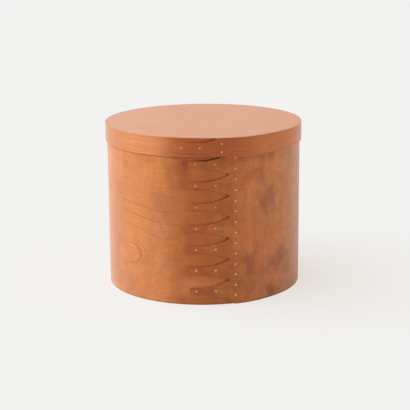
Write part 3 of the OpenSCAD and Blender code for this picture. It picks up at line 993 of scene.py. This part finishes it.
class Surface(Nodes):
    """A material and its colour. S runs along the grain, Z across it and W through it, in millimetres."""

    def __init__(self, name, base):
        self.material = bpy.data.materials.new(name)
        self.material.use_nodes = True
        super().__init__(self.material.node_tree)
        self.shader = self.tree.nodes["Principled BSDF"]
        parts = self.node("ShaderNodeSeparateXYZ", Vector=self.attribute("grain", "Vector"))
        self.s, self.z, self.w = parts.outputs
        self.edge = self.attribute("edge", "Fac")
        self.colour = base

    def attribute(self, name, output):
        made = self.node("ShaderNodeAttribute")
        made.attribute_name = name
        return made.outputs[output]

    def noise(self, length, width, detail, seed, shift=0.0):
        """Noise whose marks are about this long along the grain and this wide across it."""
        depth = self.plus(self.over(self.w, width), seed + shift)
        place = self.node("ShaderNodeCombineXYZ", X=self.over(self.s, length),
                          Y=self.over(self.z, width), Z=depth)
        made = self.node("ShaderNodeTexNoise", Vector=place.outputs[0], Scale=1.0, Detail=detail)
        return made.outputs["Fac"]

    def curve(self, value, stops):
        """A value read off a line through stops of place and height."""
        made = self.node("ShaderNodeValToRGB", Fac=value)
        points = made.color_ramp.elements
        while len(points) < len(stops):
            points.new(0.5)
        for point, (place, height) in zip(points, stops):
            point.position = place
            point.color = (height, height, height, 1)
        return made.outputs["Color"]

    def paint(self, share, tint):
        self.colour = self.mix(share, self.colour, tint)

    def tone(self, value, amount):
        """Makes the colour lighter and darker by a value from 0 to 1, by up to this amount each way."""
        swing = self.times(self.range(value, 0.0, 1.0, -1.0, 1.0), amount)
        self.colour = self.mix(1.0, self.colour, self.plus(swing, 1.0), "MULTIPLY")

    def patch(self, place, height, half_length, half_height, warp=0.0):
        """1 in the middle of a soft patch and 0 outside it."""
        x = self.over(self.minus(self.s, place), half_length)
        y = self.over(self.minus(self.z, height), half_height)
        far = self.plus(self.times(x, x), self.times(y, y))
        return self.range(self.plus(far, warp), *PATCH_EDGE, 1.0, 0.0, True)

    def paint_patches(self, tint, rows, warp=0.0):
        for *area, strength in rows:
            self.paint(self.times(self.patch(*area, warp), strength), tint)

    def line(self, value, place, half_width):
        """1 where a value is at a place, falling to 0 on both sides of it."""
        away = self.math("ABSOLUTE", self.minus(value, place))
        return self.range(away, 0.0, half_width, 1.0, 0.0, True)

    def bump(self, height, depth):
        made = self.node("ShaderNodeBump", Height=height, Distance=depth * MM, Strength=1.0)
        self.feed(self.shader.inputs["Normal"], made.outputs["Normal"])


def rings(w, q, spacing):
    """Growth rings across a field q: each darkens slowly and ends in a line of its own strength."""
    turns = w.over(q, spacing)
    white = w.node("ShaderNodeTexWhiteNoise")
    white.noise_dimensions = "1D"
    w.feed(white.inputs["W"], w.math("FLOOR", turns))
    strength = w.range(white.outputs["Value"], 0.0, 1.0, FAINTEST_RING, 1.0)
    return w.times(w.curve(w.math("FRACT", turns), RING_SHADES), strength)


def flame_field(w, bend):
    """Distance from the eye of a flame figure, which is round to its right and opens to its left."""
    run = w.minus(w.s, EYE)
    x = w.times(w.math("TANH", w.over(w.most(run, 0.0), FLAME_REACH)), FLAME_REACH)
    y = w.minus(w.z, EYE_HEIGHT)
    far = w.math("SQRT", w.plus(w.plus(w.times(x, x), w.times(y, y)), FLAME_BLUNT ** 2))
    far = w.plus(far, w.times(w.math("MINIMUM", run, 0.0), FLAME_SPREAD))
    slow = w.times(w.minus(w.noise(*FLAME_BENDS), 0.5), bend)
    quick = w.times(w.minus(w.noise(*FLAME_SHAKES), 0.5), RING_SHAKE)
    return w.plus(far, w.plus(slow, quick))


def eye_line(w, q):
    """The line round the flame's eye, which is open to the left at its top."""
    top = w.rise(w.s, EYE - EYE_SOFT, EYE)
    under = w.rise(w.z, EYE_HEIGHT, EYE_HEIGHT - EYE_SOFT, EYE_UNDER)
    under = w.times(under, w.range(w.s, *EYE_TAIL))
    return w.times(w.line(q, EYE_RADIUS, EYE_LINE), w.most(top, under))


def flame_lines(w, q):
    """The few growth lines that stand out: the eye's and three above it."""
    calm = flame_field(w, LINES_BEND)
    above = 0.0
    for distance, strength in LINES_ABOVE:
        above = w.most(above, w.times(w.line(calm, distance, LINES_WIDTH), strength))
    above = w.times(above, w.range(w.s, *LINES_FADE))
    above = w.times(above, w.range(w.z, EYE_HEIGHT, EYE_HEIGHT + LINES_SOFT))
    worn = w.range(w.noise(*LINE_WEAR), *LINES_WORN)
    return w.most(eye_line(w, q), w.times(above, worn))


def near_lap(w, inner_start, inner_end, outer_start, outer_end):
    """1 at the lap and 0 away from it, on the inner layer and on the outer one."""
    return w.most(w.rise(w.s, inner_start, inner_end), w.rise(w.s, outer_start, outer_end))


def finish_wood(w, lines, fibre, rough, ior, sheen):
    """Cut edges, gloss and relief that all the wood shares."""
    w.shader.inputs["IOR"].default_value = ior
    w.shader.inputs["Sheen Weight"].default_value = sheen
    w.shader.inputs["Sheen Tint"].default_value = SHEEN_TINT
    dark = w.math("MAXIMUM", w.edge, 0.0, clamp=True)
    pale = w.most(w.times(w.edge, -1.0), 0.0)
    w.paint(dark, CUT_EDGE)
    # Painted light: the pale colour where the edge value is below 0, mostly lower cut edges offsetting
    # their shade
    w.paint(pale, PAINTED_LIGHT_EDGE)
    w.paint(w.range(w.noise(*PORES), *PORES_SHOW), PORE)
    w.feed(w.shader.inputs["Base Color"], w.colour)
    edge_roughness = w.plus(w.times(dark, CUT_DULLS), w.times(pale, PALE_EDGE_DULLS))
    satin = w.range(fibre, *SATIN, rough - SMOOTHER, rough + ROUGHER)
    w.feed(w.shader.inputs["Roughness"], w.math("ADD", satin, edge_roughness, clamp=True))
    w.bump(w.plus(w.times(lines, LINE_RELIEF), fibre), WOOD_RELIEF)
    return w.material


def cut_wood(material):
    """The same wood as it is along a cut edge, where it is dull."""
    made = material.copy()
    made.name = material.name + "_cut"
    shader = made.node_tree.nodes["Principled BSDF"]
    shader.inputs["Sheen Weight"].default_value = 0.0
    shader.inputs["IOR"].default_value = CUT_IOR
    return made


def body_wood():
    w = Surface("cherry_body", HONEY)
    q = flame_field(w, RING_BEND)
    ring = rings(w, q, RING_SPACING)
    lines = w.noise(*BODY_LINES)
    fibre = w.noise(*BODY_FIBRE)
    mottle = w.noise(*BODY_MOTTLE)
    left = w.range(w.s, *LEFT_SIDE)
    warp = w.range(mottle, *CONTRAST, *PATCH_WARP)

    w.paint(left, GOLD)
    w.paint(w.rise(w.noise(*BODY_CLOUD), *CLOUDS), AMBER)
    w.paint_patches(AMBER_GOLD, GOLD_PATCHES, warp)
    w.paint_patches(ROSE, ROSE_PATCHES, warp)
    w.paint(w.times(ring, w.range(left, 0.0, 1.0, *RING_SHOWS)), RING)
    w.paint(w.times(flame_lines(w, q), w.times(left, FLAME_SHOWS)), RING)
    w.paint(w.times(w.line(q, *EYE_GLOW_LINE), w.rise(w.s, *EYE_GLOW)), PALE_RING)
    w.paint(w.times(left, w.rise(w.z, *HIGH_LEFT)), AMBER_GOLD)
    w.paint(near_lap(w, *BODY_LAP), RUSSET)
    w.paint_patches(AMBER, AMBER_PATCHES)
    w.paint_patches(DUN, DUN_PATCHES)
    pale = w.rise(w.noise(*BODY_PALE), *PALE_MARKS)
    w.paint(w.times(pale, w.range(left, 0.0, 1.0, *PALE_TONE)), OCHRE)
    w.paint_patches(PLUM, DARK_PATCHES, warp)
    w.paint_patches(RUST, RED_PATCHES, warp)
    w.paint(w.rise(w.s, *OUTER_END), FINGER_TIP)
    # Painted light: paler inner layer in the openings, offsetting their shade
    w.paint(w.rise(w.s, *INNER_END), AMBER)
    # Painted shade: a dark line just under the lid's lower edge
    w.paint(w.times(w.line(w.z, *UNDER_LID_SHADE_LINE), w.range(w.s, *UNDER_LID_SHADE)), LID_LINE)
    # Painted shade: darker along the bottom edge
    w.paint(w.rise(w.z, *FOOT_SHADE), LID_LINE)

    upper_left = w.times(left, w.range(w.z, *HIGH_LINES))
    w.tone(w.range(lines, *CONTRAST), w.plus(upper_left, LINE_TONE))
    w.tone(fibre, FIBRE_TONE)
    w.tone(w.noise(*BODY_SILK), w.range(left, 0.0, 1.0, *SILK_TONE))
    w.tone(mottle, MOTTLE_TONE)
    w.tone(w.noise(*BODY_NET), w.range(left, 0.0, 1.0, *NET_TONE))
    return finish_wood(w, lines, fibre, *BAND_GLOSS)


def lid_wood():
    w = Surface("cherry_lid_band", LID_HONEY)
    ring = rings(w, w.plus(w.z, w.times(w.noise(*LID_BENDS), LID_RING_BEND)), LID_RING_SPACING)
    lines = w.noise(*LID_LINES)
    fibre = w.noise(*LID_FIBRE)
    left = w.range(w.s, *LEFT_SIDE)
    w.paint(left, GOLD)
    w.paint(w.rise(w.s, *LID_LEFT), LID_GOLD)
    w.paint(w.times(ring, LID_RING_SHOWS), RING)
    w.paint(near_lap(w, *LID_LAP), LID_RUSSET)
    w.paint_patches(LID_HONEY, LID_PATCHES)
    w.paint(w.rise(w.s, *LID_OUTER_END), LID_HONEY)
    w.paint(w.times(left, w.rise(w.s, *LID_FAR_LEFT)), LID_RUSSET)
    w.paint(w.times(w.range(left, *LID_FRONT), w.rise(w.s, *LID_FAR_RIGHT)), LID_ORANGE)
    w.tone(w.range(lines, *CONTRAST), w.range(left, 0.0, 1.0, *LID_LINE_TONE))
    w.tone(fibre, LID_FIBRE_TONE)
    w.tone(w.noise(*LID_SILK), LID_SILK_TONE)
    return finish_wood(w, lines, fibre, *BAND_GLOSS)


def board_wood(name, shift):
    w = Surface(name, BOARD)
    bend = w.times(w.noise(*BOARD_BENDS, shift), BOARD_RING_BEND)
    ring = rings(w, w.plus(w.z, bend), BOARD_RING_SPACING)
    lines, fibre, silk = [w.noise(*kind, shift) for kind in (BOARD_LINES, BOARD_FIBRE, BOARD_SILK)]
    # Painted light on the left side and painted shade on the right
    w.paint(w.rise(w.s, *PAINTED_LIGHT_SIDE), BOARD_PAINTED_LIGHT)
    w.paint(w.rise(w.s, *PAINTED_SHADE_SIDE), BOARD_PAINTED_SHADE)
    w.paint(w.times(ring, BOARD_RING_SHOWS), BOARD_RING)
    for texture, amount in zip((lines, fibre, silk), BOARD_TONES):
        w.tone(texture, amount)
    return finish_wood(w, lines, fibre, *BOARD_GLOSS)


def peg_wood():
    w = Surface("peg_end_grain", PEG_PALE)
    rays = w.noise(*PEG_RAYS)
    w.paint(w.range(rays, *RAYS), PEG_RED)
    return finish_wood(w, rays, rays, *PEG_GLOSS)


def copper():
    w = Surface("burnished_copper", COPPER_BRIGHT)
    cloud = w.noise(*COPPER_CLOUD)
    w.paint(w.range(cloud, *COPPER_WEAR), COPPER_WORN)
    w.paint(w.edge, COPPER_DULL)
    w.feed(w.shader.inputs["Base Color"], w.colour)
    w.shader.inputs["Metallic"].default_value = COPPER_METAL
    w.feed(w.shader.inputs["Roughness"], w.range(cloud, *COPPER_ROUGH))
    w.bump(w.noise(*COPPER_DENTS), COPPER_RELIEF)
    return w.material


# Backdrop, floor and camera, in metres and radians
BACKGROUND = srgb(242, 242, 240)
AMBIENT = 0.1
FRONT_GLOSS = 0.12
GLOSS_TURNS = (-0.6, 0.5)
FLOOR_COLOUR = srgb(232, 232, 230)
FLOOR_SHADE = srgb(110, 127, 142)
FLOOR_GLOW = srgb(221, 213, 203)
FLOOR_ROUGH = 0.9
FLOOR_HALF = 14.0
CAMERA_TARGET = Vector((0.00015, 0, 0.0955))
CAMERA_DISTANCE = 1.6385
CAMERA_ELEVATION = math.radians(13.884)
CAMERA_ROLL = math.radians(-0.4056)
CAMERA_LENS = 110.69
CAMERA_SHIFT = 0.0024

# Suns: name, side, height and spread in degrees, strength and colour
SUNS = (
    ("key_left", -88, 46, 90, 3.7, (1, 0.98, 0.95)),
    ("fill_right", 82, 12, 90, 1.45, (1, 1, 1)),
)
SUN_DISTANCE = 3.0


def seen_directly(nodes):
    """1 for rays from the camera, from gloss and through glass, and 0 for other light."""
    rays = nodes.node("ShaderNodeLightPath").outputs
    seen = nodes.most(rays["Is Camera Ray"], rays["Is Glossy Ray"])
    return nodes.most(seen, rays["Is Transmission Ray"])


def make_world():
    """Pale all round to the eye, with a dimmer room in front of the object for its gloss."""
    world = bpy.data.worlds.new("studio")
    bpy.context.scene.world = world
    world.use_nodes = True
    nodes = Nodes(world.node_tree)
    ground = nodes.tree.nodes["Background"]
    ground.inputs["Color"].default_value = BACKGROUND
    direction = nodes.node("ShaderNodeTexCoord").outputs["Generated"]
    parts = nodes.node("ShaderNodeSeparateXYZ", Vector=direction).outputs
    gloss = nodes.range(parts["Y"], *GLOSS_TURNS, FRONT_GLOSS, 1.0)
    eye = nodes.node("ShaderNodeLightPath").outputs["Is Camera Ray"]
    seen = nodes.range(eye, 0.0, 1.0, gloss, 1.0)
    level = nodes.range(seen_directly(nodes), 0.0, 1.0, AMBIENT, seen)
    nodes.feed(ground.inputs["Strength"], level)


def make_floor():
    """Pale paper under the object; to the eye it mostly glows, which keeps the shadow on it faint."""
    mesh = bpy.data.meshes.new("floor")
    corners = [(x * FLOOR_HALF, y * FLOOR_HALF, 0) for x, y in ((-1, -1), (1, -1), (1, 1), (-1, 1))]
    mesh.from_pydata(corners, [], [(0, 1, 2, 3)])
    floor = add_object("floor", mesh)
    material = bpy.data.materials.new("pale_floor")
    material.use_nodes = True
    nodes = Nodes(material.node_tree)
    inputs = nodes.tree.nodes["Principled BSDF"].inputs
    seen = seen_directly(nodes)
    nodes.feed(inputs["Base Color"], nodes.mix(seen, FLOOR_COLOUR, FLOOR_SHADE))
    inputs["Roughness"].default_value = FLOOR_ROUGH
    inputs["Specular IOR Level"].default_value = 0.0
    inputs["Emission Color"].default_value = FLOOR_GLOW
    nodes.feed(inputs["Emission Strength"], seen)
    mesh.materials.append(material)


def make_sun(name, side, height, spread, strength, colour):
    """Even light from far off, as wide as a soft studio panel."""
    lamp = bpy.data.lights.new(name, "SUN")
    lamp.energy = strength
    lamp.angle = math.radians(spread)
    lamp.color = colour
    made = add_object(name, lamp)
    up = math.radians(height)
    source = way(math.radians(side)) * math.cos(up) + Vector((0, 0, math.sin(up)))
    made.rotation_euler = (-source).to_track_quat("-Z", "Y").to_euler()
    made.location = source * SUN_DISTANCE
    made.visible_glossy = False


def make_camera():
    data = bpy.data.cameras.new("camera")
    data.lens = CAMERA_LENS
    data.shift_x = CAMERA_SHIFT
    camera = add_object("camera", data)
    away = Vector((0, -math.cos(CAMERA_ELEVATION), math.sin(CAMERA_ELEVATION)))
    camera.location = CAMERA_TARGET + away * CAMERA_DISTANCE
    aim = (CAMERA_TARGET - camera.location).to_track_quat("-Z", "Y").to_matrix()
    camera.rotation_euler = (aim @ Matrix.Rotation(CAMERA_ROLL, 3, "Z")).to_euler()
    bpy.context.scene.camera = camera


make_camera()
make_world()
make_floor()
for sun in SUNS:
    make_sun(*sun)

make_body_band(body_wood())
make_lid_band(lid_wood())
make_board("lid_top_board", board_radius, BOARD_LOW, HEIGHT, "lid", "lid_board",
           board_wood("cherry_lid_board", 0.0))
make_board("bottom_disc", bottom_radius, 0, BOTTOM_TOP, "box", "bottom_board",
           board_wood("cherry_bottom_board", BOTTOM_SHIFT))
make_all_tacks(copper())
pegs = peg_wood()
make_pegs("bottom_peg_ends", BODY_R, BOTTOM_TOP / 2, "box", "bottom_pegs", pegs)
make_pegs("lid_peg_ends", LID_R, (BOARD_LOW + HEIGHT) / 2, "lid", "lid_pegs", pegs)

bpy.context.scene.view_settings.view_transform = "Standard"
